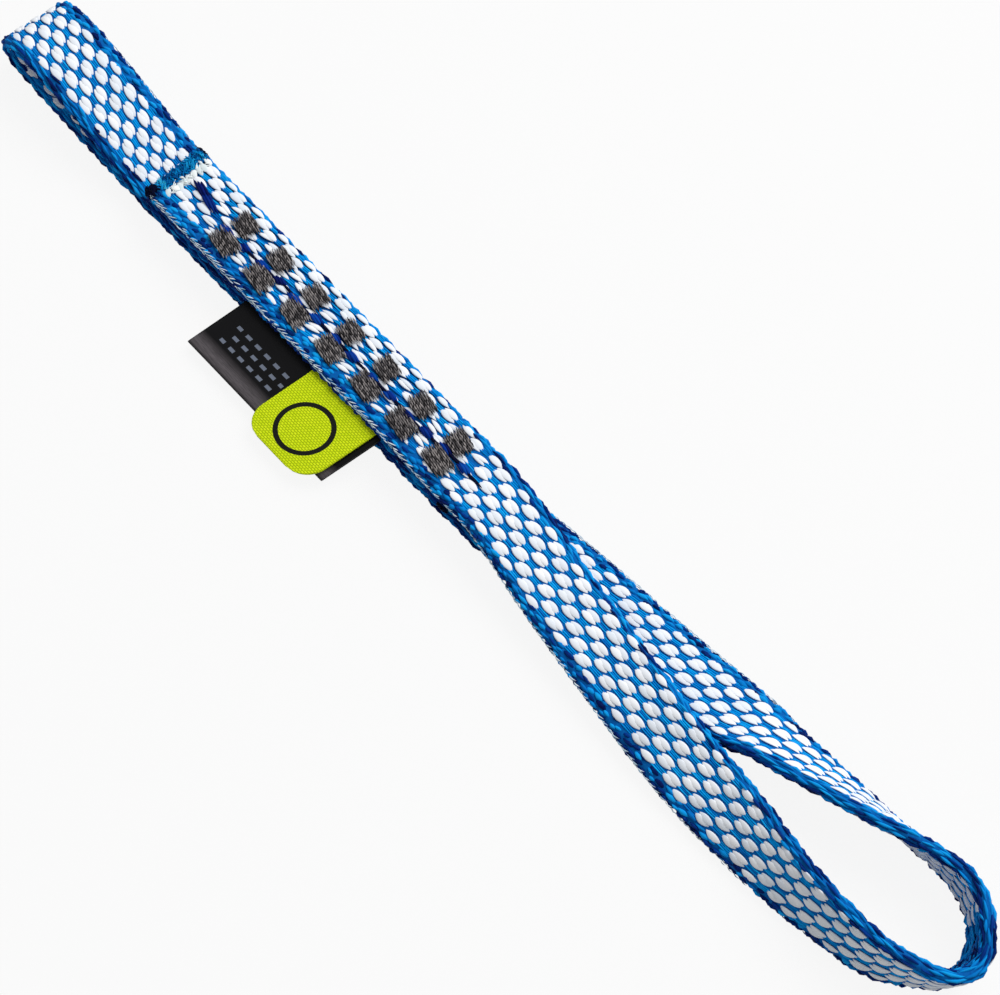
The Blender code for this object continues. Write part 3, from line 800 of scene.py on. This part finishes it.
def white_strands(route, phase, start, end, face):
    """The white lobes of one face: each row's pair lies on two neighbouring lines."""
    strands = []
    for row, place in weave_rows(route, phase, start, end, face):
        for side in (-1, 1):
            line = row + (side - 1) // 2
            along = route.distance(place + side * LOBE_STAGGER / 2)
            if line not in range(LINE_COUNT) or not start <= along <= end:
                continue
            across = FIRST_LINE + line * LINE_PITCH - side * PAIR_CLOSENESS
            kept = squeeze(route, along, across, face)
            lobe = Strand(
                along, across, LOBE_LENGTH, LOBE_WIDTH * kept, LOBE_TOP, LOBE_DEPTH * math.sqrt(kept),
                face, LOBE_SLANT, dip=STRAND_DIP)
            strands.append(shifted(lobe, LOBE_SHIFT, LOBE_SQUEEZED, 1 - kept))
    return strands


def blue_strands(route, phase, start, end, face):
    """Three blue strips in each hollow between the white lobes of one face."""
    strands = []
    for row, place in weave_rows(route, phase, start, end, face):
        along = route.distance(place + WEAVE_PERIOD * HOLLOW_SHARE)
        if row == LINE_COUNT or not start <= along <= end:
            continue
        across = FIRST_LINE + row * LINE_PITCH
        kept = squeeze(route, along, across, face)
        for side in (-1, 0, 1):
            strip = Strand(
                along + side * BLUE_STAGGER, across + side * BLUE_PITCH, BLUE_LENGTH, BLUE_WIDTH,
                BLUE_TOP, BLUE_DEPTH, face, LOBE_SLANT, dip=BLUE_DIP)
            strands.append(shifted(strip, BLUE_SHIFT, BLUE_SQUEEZED, 1 - kept))
    return strands


def blue_tone(facing=1.0):
    """A chance tone of the rim's yarn, navy or azure: navy at random, and more often the less it faces up, as
    painted shade.
    """
    navy = RANDOM.random() < NAVY_SHARE + NAVY_PAINTED_SHADE_SHARE * (1 - facing)
    return RANDOM.uniform(*(NAVY_TONES if navy else AZURE_TONES))


def swell_height(swell, along, row):
    """How much further out an edge stands, at its middle the most."""
    return np.interp(along, *np.transpose(swell)) * np.sin(np.clip(row / HALF_THICKNESS, 0, math.pi))


def rim_strands(route, rim, swell):
    """Blue strands round one edge of the tape, in rows laid like bricks, and their tones."""
    strands, tones = [], []
    rows = np.linspace(-RIM_OVERLAP, math.pi * HALF_THICKNESS + RIM_OVERLAP, RIM_ROWS)
    for number, row in enumerate(rows):
        turn = max(row, 0) / HALF_THICKNESS
        offset = (number % 2) * rim.pitch / 2
        for count in range(int((route.pattern[-1] - offset) / rim.pitch) + 1):
            along = route.distance(count * rim.pitch + offset)
            strand = Strand(
                along, rim.side * (HALF_FLAT + row), rim.length, rim.width,
                RIM_TOP + swell_height(swell, along, row), RIM_DEPTH,
                slant=-rim.side * rim.slant, dip=STRAND_DIP)
            strands.append(shifted(strand, RIM_SHIFT))
            # Painted shade: the less a strand faces up, the more often it is navy
            facing = math.cos(turn) * np.interp(along, route.along, route.through[:, 2])
            facing += rim.side * math.sin(turn) * np.interp(along, route.along, route.across[:, 2])
            tones.append(blue_tone(facing))
    return strands, tones


def crumple_strands():
    """Jumbled blue yarn where the inside of the far bend is pinched, and its tones."""
    strands, tones = [], []
    for number in range(CRUMPLE_COUNT):
        strands.append(Strand(
            along=CRUMPLE_START + (CRUMPLE_END - CRUMPLE_START) * (number + 0.5) / CRUMPLE_COUNT,
            across=RANDOM.uniform(-HALF_FLAT, HALF_FLAT),
            length=CRUMPLE_LENGTH * (1 + jitter(CRUMPLE_SIZE_SHARE)),
            width=CRUMPLE_WIDTH * (1 + jitter(CRUMPLE_SIZE_SHARE)),
            slant=jitter(CRUMPLE_SLANT),
            bow=jitter(CRUMPLE_BOW),
            top=LOBE_TOP + RANDOM.uniform(*CRUMPLE_RISE),
            depth=LOBE_DEPTH,
            face=-1,
            dip=STRAND_DIP,
        ))
        tones.append(blue_tone())
    return strands, tones


def knit_strands(route, swell):
    """The white thread knitted along one edge: short uneven ticks above a thin running line."""
    strands = []
    for count in range(int(route.pattern[-1] / KNIT_PITCH)):
        along = route.distance((count + 0.5) * KNIT_PITCH)
        for past, length, slant, top, missing_share in KNIT_ROWS:
            if RANDOM.random() < missing_share:
                continue
            tick = Strand(
                along, -HALF_FLAT - past, length, KNIT_WIDTH, top + swell_height(swell, along, past),
                KNIT_WIDTH / 2, slant=slant, dip=KNIT_DIP)
            strands.append(shifted(tick, KNIT_SHIFT))
    return strands


def end_strand(along, across, kind):
    """One short fibre or lump of a cut end."""
    length = kind.length * RANDOM.uniform(*kind.length_shares)
    width = kind.width * RANDOM.uniform(*kind.width_shares)
    top = RANDOM.uniform(*kind.tops)
    depth = min(width / 2, LOBE_DEPTH)
    slant = jitter(kind.turn)
    return Strand(along, across, length, width, top, depth, slant=slant, bow=jitter(kind.bow), dip=END_DIP)


def end_strands(cut, side):
    """A cut end's loose fibres with their tones, its smeared white lumps and its dark tufts."""
    fibres, lumps, tufts, tones = [], [], [], []
    blots = RANDOM.random(int(TAPE_WIDTH / END_BLOT) + 1)
    for _ in range(END_FIBRE_COUNT):
        across = RANDOM.uniform(-HALF_WIDTH, HALF_WIDTH)
        blot = float(blots[int((across + HALF_WIDTH) / END_BLOT)])
        tones.append(blot * END_BLOT_SHARE + RANDOM.random() / 2)
        place = -END_REACH + END_BAND * RANDOM.random() ** END_CROWD_POWER
        fibres.append(end_strand(cut + side * place, across, FIBRE))
    for line in range(LINE_COUNT):
        place = END_LUMP_PLACE + jitter(END_LUMP_SHIFT)
        across = FIRST_LINE + line * LINE_PITCH + jitter(END_LUMP_SIDE_SHIFT)
        lumps.append(end_strand(cut + side * place, across, LUMP))
    for _ in range(END_SMEAR_COUNT):
        place = END_LUMP_PLACE + jitter(END_SMEAR_SHIFT)
        across = RANDOM.uniform(FIRST_LINE, -FIRST_LINE)
        lumps.append(end_strand(cut + side * place, across, SMEAR))
    for number in range(END_TUFT_COUNT):
        corner = 1 if number % 2 else -1
        place = -END_REACH + END_TUFT_REACH * RANDOM.random()
        across = corner * (HALF_WIDTH - END_TUFT_INSET + END_TUFT_BAND * RANDOM.random())
        tufts.append(end_strand(cut + side * place, across, TUFT))
    return fibres, tones, lumps, tufts


def ground_object(name, route, start, swell, material):
    """The dark cloth body of a run of tape, from a place before or at its start."""
    quarter = math.pi * HALF_THICKNESS
    wraps = [HALF_FLAT + quarter * i / GROUND_SIDES for i in range(GROUND_SIDES + 1)]
    wraps += [-w for w in reversed(wraps)]
    count = int(route.length / ROUTE_PITCH)
    along = np.linspace(start, route.length, count + 1)[:, None]
    wrap = np.array(wraps)[None, :]
    height = GROUND_HEIGHT + swell_height(swell, along, -wrap - HALF_FLAT)
    points = route.place(along + 0 * wrap, wrap + 0 * along, height)
    numbers = np.arange(points.shape[0] * points.shape[1]).reshape(points.shape[:2])
    following = np.roll(numbers, -1, axis=1)
    quads = np.stack((numbers[:-1], numbers[1:], following[1:], following[:-1]), axis=-1)
    faces = quads.reshape(-1, 4).tolist()
    faces += [numbers[0].tolist(), numbers[-1][::-1].tolist()]
    return new_object(name, points.reshape(-1, 3), faces, material)


def crossings(route, x):
    """Where the route's middle line passes a place along X, its first time and its last."""
    side = route.centres[:, 0] > x
    numbers = np.nonzero(side[1:] != side[:-1])[0]
    return route.along[numbers[0]], route.along[numbers[-1]]


def dress_tape(name, route, anchor, face_ranges, swell, hinge_x, end_side, materials):
    """All the pieces of one run of tape, their places baked into their points."""
    phase = float(np.interp(anchor, route.along, route.pattern)) + LOBE_STAGGER / 2
    whites, blues = [], []
    for face, start, end in face_ranges:
        whites += white_strands(route, phase, start, end, face)
        blues += blue_strands(route, phase, start, end, face)
    plain, plain_tones = rim_strands(route, PLAIN_RIM, NO_SWELL)
    knitted, knitted_tones = rim_strands(route, KNIT_RIM, swell)
    cut, start = (0, -END_REACH) if end_side > 0 else (route.length, 0)
    fibres, fibre_tones, lumps, tufts = end_strands(cut, end_side)
    rim = materials["rim_yarn"]
    pieces = [
        ground_object(f"{name}_ground", route, start, swell, materials["ground"]),
        strands_object(f"{name}_white_yarn", route, whites, materials["white_yarn"], LONG_SHARES),
        strands_object(f"{name}_blue_yarn", route, blues, materials["azure_yarn"]),
        strands_object(f"{name}_plain_rim", route, plain, rim, tones=plain_tones),
        strands_object(f"{name}_knitted_rim", route, knitted, rim, tones=knitted_tones),
        strands_object(f"{name}_edge_thread", route, knit_strands(route, swell), materials["edge_thread"]),
        strands_object(f"{name}_end_fibres", route, fibres, materials["end_fibre"], tones=fibre_tones),
        strands_object(f"{name}_end_lumps", route, lumps, materials["end_lump"]),
        strands_object(f"{name}_end_tufts", route, tufts, materials["end_tuft"]),
    ]
    side = math.copysign(1, hinge_x)
    for piece in pieces:
        start = (hinge_x - side * FOLD_START, 0, 0)
        end = (hinge_x + side * FOLD_START, 0, 0)
        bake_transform(piece)
    return pieces


def make_tape(materials):
    """Both runs of tape."""
    large = large_route()
    leave, back = crossings(large, LARGE_HINGE_X)
    faces = (
        (1, END_LUMP_PLACE + END_LUMP_LENGTH / 2, back + FACE_OVERLAP),
        (-1, leave - FACE_OVERLAP, CRUMPLE_START),
        (-1, CRUMPLE_END, large.length),
    )
    pieces = dress_tape(
        "large_run", large, WEAVE_ANCHOR, faces, NO_SWELL, LARGE_HINGE_X, 1, materials)
    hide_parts("top_ply", "bottom_ply", "large_loop")
    strands, tones = crumple_strands()
    crumple = strands_object("large_run_crumple", large, strands, materials["rim_yarn"], tones=tones)
    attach(crumple, "large_loop")
    small = small_route()
    leave, back = crossings(small, SMALL_HINGE_X)
    faces = ((1, leave - FACE_OVERLAP, back + FACE_OVERLAP), (-1, 0, back + FACE_OVERLAP))
    pieces = dress_tape(
        "small_run", small, SMALL_RUN_ANCHOR, faces, SMALL_RUN_SWELL, SMALL_HINGE_X, -1,
        materials)
    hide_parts("middle_ply", "small_loop")


def flat_route(centre, turn_deg, reach, upside=1):
    """A short straight route through a place on the sewn stretch."""
    turn = math.radians(turn_deg)
    forward = np.array((math.cos(turn), math.sin(turn) * upside, 0))
    through = np.array((0, 0, upside))
    centres = np.array([np.array(centre) - forward * reach, np.array(centre) + forward * reach])
    across = np.cross(through, forward)
    return Route(centres, np.array([across] * 2), np.array([through] * 2))


def tack_strands(middle, length):
    """The threads of one bar tack, each a near-black core that shows between two twisted plies as painted
    shade, and their tones.
    """
    strands, tones = [], []
    for number in range(TACK_THREADS):
        share = (number + 0.5) / TACK_THREADS - 0.5
        across = share * TACK_WIDTH
        start = middle - length / 2 + jitter(TACK_RAGGED)
        end = middle + length / 2 + jitter(TACK_RAGGED)
        crown = TACK_CROWN * (1 - 4 * share**2)
        # The core, in the darkest tone, is painted shade between the plies
        strands.append(Strand(
            (start + end) / 2, across, end - start, TACK_WIDTH / TACK_THREADS * TACK_SHADE_CORE_SHARE,
            TACK_SHADE_CORE_TOP + crown, TACK_SHADE_CORE_DEPTH, dip=TACK_SHADE_CORE_DEPTH))
        tones.append(PAINTED_SHADE_TONE)
        for count in range(int((end - start) / TACK_PLY_PITCH)):
            ply = Strand(
                start + (count + 0.5) * TACK_PLY_PITCH, across, TACK_PLY_LENGTH, TACK_PLY_WIDTH,
                TACK_PLY_TOP + crown, TACK_PLY_WIDTH / 2, slant=TACK_PLY_SLANT, dip=TACK_PLY_DIP)
            strands.append(shifted(ply, TACK_SHIFT))
            tones.append(RANDOM.random())
    return strands, tones


def make_tacks(material):
    """The thread of each bar tack, on the top and on the underside."""
    pitch = (TACK_LAST_ROW - TACK_FIRST_ROW) / (TACK_ROWS - 1)
    for row in range(TACK_ROWS):
        for column, side in (("upper", 1), ("lower", -1)):
            points, faces, shade = [], [], []
            for height, upside in ((STACK_TOP - TACK_SINK, 1), (TACK_UNDER_Z, -1)):
                centre = (TACK_FIRST_ROW + row * pitch, side * TACK_COLUMN_OFFSET, height)
                route = flat_route(centre, TACK_TURN_DEG, TACK_LENGTH, upside)
                strands, tones = tack_strands(TACK_LENGTH, TACK_STITCH_LENGTHS[column])
                more_points, more_faces, more_shade = strand_arrays(route, strands, SHORT_SHARES, tones)
                faces += [[n + sum(map(len, points)) for n in face] for face in more_faces]
                points.append(more_points)
                shade.append(more_shade)
            name = f"bar_tack_{column}_{row + 1}"
            tack = new_object(f"{name}_thread", np.vstack(points), faces, material, np.vstack(shade))
            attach(tack, "sewn_stretch")
            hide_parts(name)


def seam_stitch(x, across, length, slant, tone):
    """The three twisted plies of one stitch of the seam, and their tones."""
    plies, tones = [], []
    for ply in (-1, 0, 1):
        strand = Strand(
            x - SEAM_START + ply * SEAM_PLY_PITCH, across + ply * SEAM_PLY_PITCH, length, SEAM_PLY_WIDTH,
            SEAM_TOP - abs(ply) * SEAM_PLY_DROP, SEAM_DEPTH, slant=slant + SEAM_TWIST, dip=SEAM_DIP)
        plies.append(shifted(strand, SEAM_SHIFT))
        tones.append(tone + jitter(SEAM_TONE_SHIFT))
    return plies, tones


def make_seam(material):
    """The thick blue stitches down the middle of the top ply, on a thin dark line of painted shade."""
    end = SEAM_FIRST + SEAM_COUNT * SEAM_PITCH
    centres = np.array([(SEAM_START, 0, STACK_TOP), (end, 0, STACK_TOP)])
    route = Route(centres, np.array([(0, 1, 0)] * 2), np.array([(0, 0, 1)] * 2))
    middle = SEAM_START + SEAM_START_LENGTH / 2
    strands, tones = [], []
    for half in (0, 1):
        x = middle + half * SEAM_START_STEP
        across = SEAM_START_OFF + half * SEAM_START_SLANT * SEAM_START_STEP + half * SEAM_OFF
        plies, ply_tones = seam_stitch(x, across, SEAM_START_LENGTH, SEAM_START_SLANT, SEAM_START_TONE)
        strands += plies
        tones += ply_tones
    for number in range(SEAM_COUNT):
        x = SEAM_FIRST + number * SEAM_PITCH + jitter(SEAM_PLACE_SHIFT)
        off = SEAM_OFF + jitter(SEAM_OFF_SHIFT)
        length = SEAM_LENGTH * (1 + jitter(SEAM_LENGTH_SHARE))
        plies, ply_tones = seam_stitch(x, off, length, jitter(SEAM_TURN), SEAM_TONE + jitter(SEAM_TONE_SHIFT))
        # Painted shade: a dark line from this stitch to the next
        line = Strand(
            x + SEAM_PITCH / 2 - SEAM_START, off, SEAM_PITCH, SEAM_SHADE_LINE_WIDTH, SEAM_SHADE_LINE_TOP,
            SEAM_SHADE_LINE_WIDTH / 2)
        strands += [*plies, line]
        tones += [*ply_tones, PAINTED_SHADE_TONE]
    seam = strands_object("centre_seam_thread", route, strands, material, LONG_SHARES, tones)
    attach(seam, "sewn_stretch")
    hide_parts("centre_seam")


def label_point(hinge_y, hinge_z, x, along, through):
    """A point of a label that droops from its hinge line, or of its end inside the plies."""
    if along < 0:
        return Vector((x, hinge_y - along, hinge_z + through))
    droop = math.radians(LABEL_DROOP_DEG)
    outward = Vector((-LABEL_SKEW_SHARE, -math.cos(droop), -math.sin(droop)))
    upward = Vector((0, -math.sin(droop), math.cos(droop)))
    return Vector((x, hinge_y, hinge_z)) + along * outward + through * upward


def label_object(name, material, rows, columns, start, length, hinge_y, hinge_z, thickness):
    """A label from rows that each give a place down it, through it, and in from its two sides."""
    points, faces, places = [], [], []
    for along, through, inset in rows:
        for column in range(columns + 1):
            x = inset + (length - 2 * inset) * column / columns
            points.append(label_point(hinge_y, hinge_z, start + x, along, through))
            places.append((x, along, through))
    for row in range(len(rows) - 1):
        for column in range(columns):
            first = row * (columns + 1) + column
            faces.append((first, first + 1, first + columns + 2, first + columns + 1))
    label = new_object(name, points, faces, material, places)
    thick = label.modifiers.new("thickness", "SOLIDIFY")
    thick.thickness = thickness
    thick.offset = 0
    return label


def make_black_label(material):
    """The satin ribbon, folded in two."""
    hinge_y = -HALF_WIDTH - CLEARANCE - BLACK_LABEL_FOLD
    radius = BLACK_LABEL_FOLD - RIBBON_INSET
    turn = BLACK_LABEL_DROP - BLACK_LABEL_FOLD
    step = turn / RIBBON_STEPS
    rows = [(-LABEL_TAIL_DEPTH + step * i, radius, 0) for i in range(RIBBON_TAIL_STEPS + 1)]
    rows += [(step * i, radius, 0) for i in range(1, RIBBON_STEPS)]
    for i in range(RIBBON_FOLD_STEPS + 1):
        angle = math.pi / 2 - math.pi * i / RIBBON_FOLD_STEPS
        rows.append((turn + radius * math.cos(angle), radius * math.sin(angle), 0))
    rows += [(step * i, -radius, 0) for i in range(RIBBON_STEPS - 1, 0, -1)]
    tail_step = LABEL_TAIL_DEPTH / RIBBON_TAIL_STEPS
    rows += [(-tail_step * i, -radius, 0) for i in range(RIBBON_TAIL_STEPS + 1)]
    label = label_object(
        "black_label_ribbon", material, rows, RIBBON_COLUMNS, BLACK_LABEL_START, BLACK_LABEL_LENGTH,
        hinge_y, LABEL_GAP_Z - LABEL_SPACING / 2, RIBBON_THICKNESS)
    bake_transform(label)
    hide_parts("black_label", "black_label_tail")


def make_yellow_label(material):
    """The woven tab."""
    hinge_y = -HALF_WIDTH - CLEARANCE - YELLOW_LABEL_THICKNESS / 2
    turn = YELLOW_LABEL_DROP - YELLOW_LABEL_CORNER
    rows = []
    for row in range(YELLOW_ROWS + 1):
        along = -LABEL_TAIL_DEPTH + (YELLOW_LABEL_DROP + LABEL_TAIL_DEPTH) * row / YELLOW_ROWS
        past = max(along - turn, 0)
        inset = YELLOW_LABEL_CORNER - math.sqrt(max(YELLOW_LABEL_CORNER**2 - past**2, 0))
        rows.append((along, 0, inset))
    label = label_object(
        "yellow_label_tab", material, rows, YELLOW_COLUMNS, YELLOW_LABEL_START, YELLOW_LABEL_LENGTH,
        hinge_y, LABEL_GAP_Z + LABEL_SPACING / 2, YELLOW_LABEL_THICKNESS)
    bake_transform(label)
    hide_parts("yellow_label", "yellow_label_tail")


def seen_or_lit(tree, seen, lit):
    """One value where the floor or the surround is seen, and another where it lights the sling."""
    path = node(tree, "ShaderNodeLightPath")
    value = path.outputs["Is Camera Ray"]
    for ray in ("Is Glossy Ray", "Is Transmission Ray"):
        value = calculate(tree, "MAXIMUM", value, path.outputs[ray])
    return calculate(tree, "MULTIPLY_ADD", value, seen - lit, lit)


def make_floor():
    """A pale floor that keeps a soft shadow, and through which a loop folded below it still shows."""
    half = FLOOR_SIZE / 2
    corners = [(x * half, y * half, -FLOOR_DROP) for x, y in ((-1, -1), (1, -1), (1, 1), (-1, 1))]
    material, tree, shader = new_material("pale_floor", *FLOOR_CLOTH)
    shader.inputs["Base Color"].default_value = FLOOR_COLOUR
    from_below = node(tree, "ShaderNodeNewGeometry").outputs["Backfacing"]
    clear = calculate(tree, "MAXIMUM", seen_or_lit(tree, FLOOR_CLEAR_SHARE, 0), from_below)
    nothing = node(tree, "ShaderNodeBsdfTransparent").outputs["BSDF"]
    mix = node(tree, "ShaderNodeMixShader", clear, shader.outputs["BSDF"], nothing)
    feed(tree, tree.nodes["Material Output"].inputs["Surface"], mix.outputs["Shader"])
    floor = new_object("floor", corners, [(0, 1, 2, 3)], material)


def make_light():
    """A white surround and one large soft lamp above."""
    scene = bpy.context.scene
    world = scene.world or bpy.data.worlds.new("surround")
    scene.world = world
    world.use_nodes = True
    tree = world.node_tree
    background = tree.nodes["Background"]
    background.inputs["Color"].default_value = (1, 1, 1, 1)
    feed(tree, background.inputs["Strength"], seen_or_lit(tree, 1, SURROUND))
    lamp_data = bpy.data.lights.new("soft_lamp", "AREA")
    lamp_data.shape = "DISK"
    lamp_data.size = LAMP_SIZE
    lamp_data.energy = LAMP_POWER
    lamp = bpy.data.objects.new("soft_lamp", lamp_data)
    lamp.location = LOOK_POINT + LAMP_PLACE
    lamp.rotation_euler = (LOOK_POINT - lamp.location).to_track_quat("-Z", "Y").to_euler()
    scene.collection.objects.link(lamp)


def make_camera():
    """The photograph's view."""
    turn = math.radians(CAMERA_TURN_DEG)
    tilt = math.radians(CAMERA_TILT_DEG)
    right = Vector((math.cos(turn), math.sin(turn), 0))
    ahead = Vector((-math.sin(turn), math.cos(turn), 0))
    up = math.cos(tilt) * ahead + math.sin(tilt) * Vector((0, 0, 1))
    back = right.cross(up)
    camera_data = bpy.data.cameras.new("camera")
    camera_data.lens = LENS_LENGTH
    camera_data.sensor_fit = "HORIZONTAL"
    camera_data.sensor_width = SENSOR_WIDTH
    camera_data.clip_start = CAMERA_NEAR
    camera = bpy.data.objects.new("camera", camera_data)
    axes = Matrix((right, up, back)).transposed()
    camera.matrix_world = Matrix.Translation(LOOK_POINT + CAMERA_DISTANCE * back) @ axes.to_4x4()
    bpy.context.scene.collection.objects.link(camera)
    bpy.context.scene.camera = camera


def main():
    """The whole picture."""
    bpy.context.scene.view_settings.view_transform = "Standard"
    make_camera()
    make_floor()
    make_light()
    materials = {name: yarn_material(name) for name in YARNS}
    make_tape({**materials, "ground": ground_material()})
    make_tacks(materials["grey_thread"])
    make_seam(materials["blue_thread"])
    make_black_label(satin_material())
    make_yellow_label(yellow_material())


main()
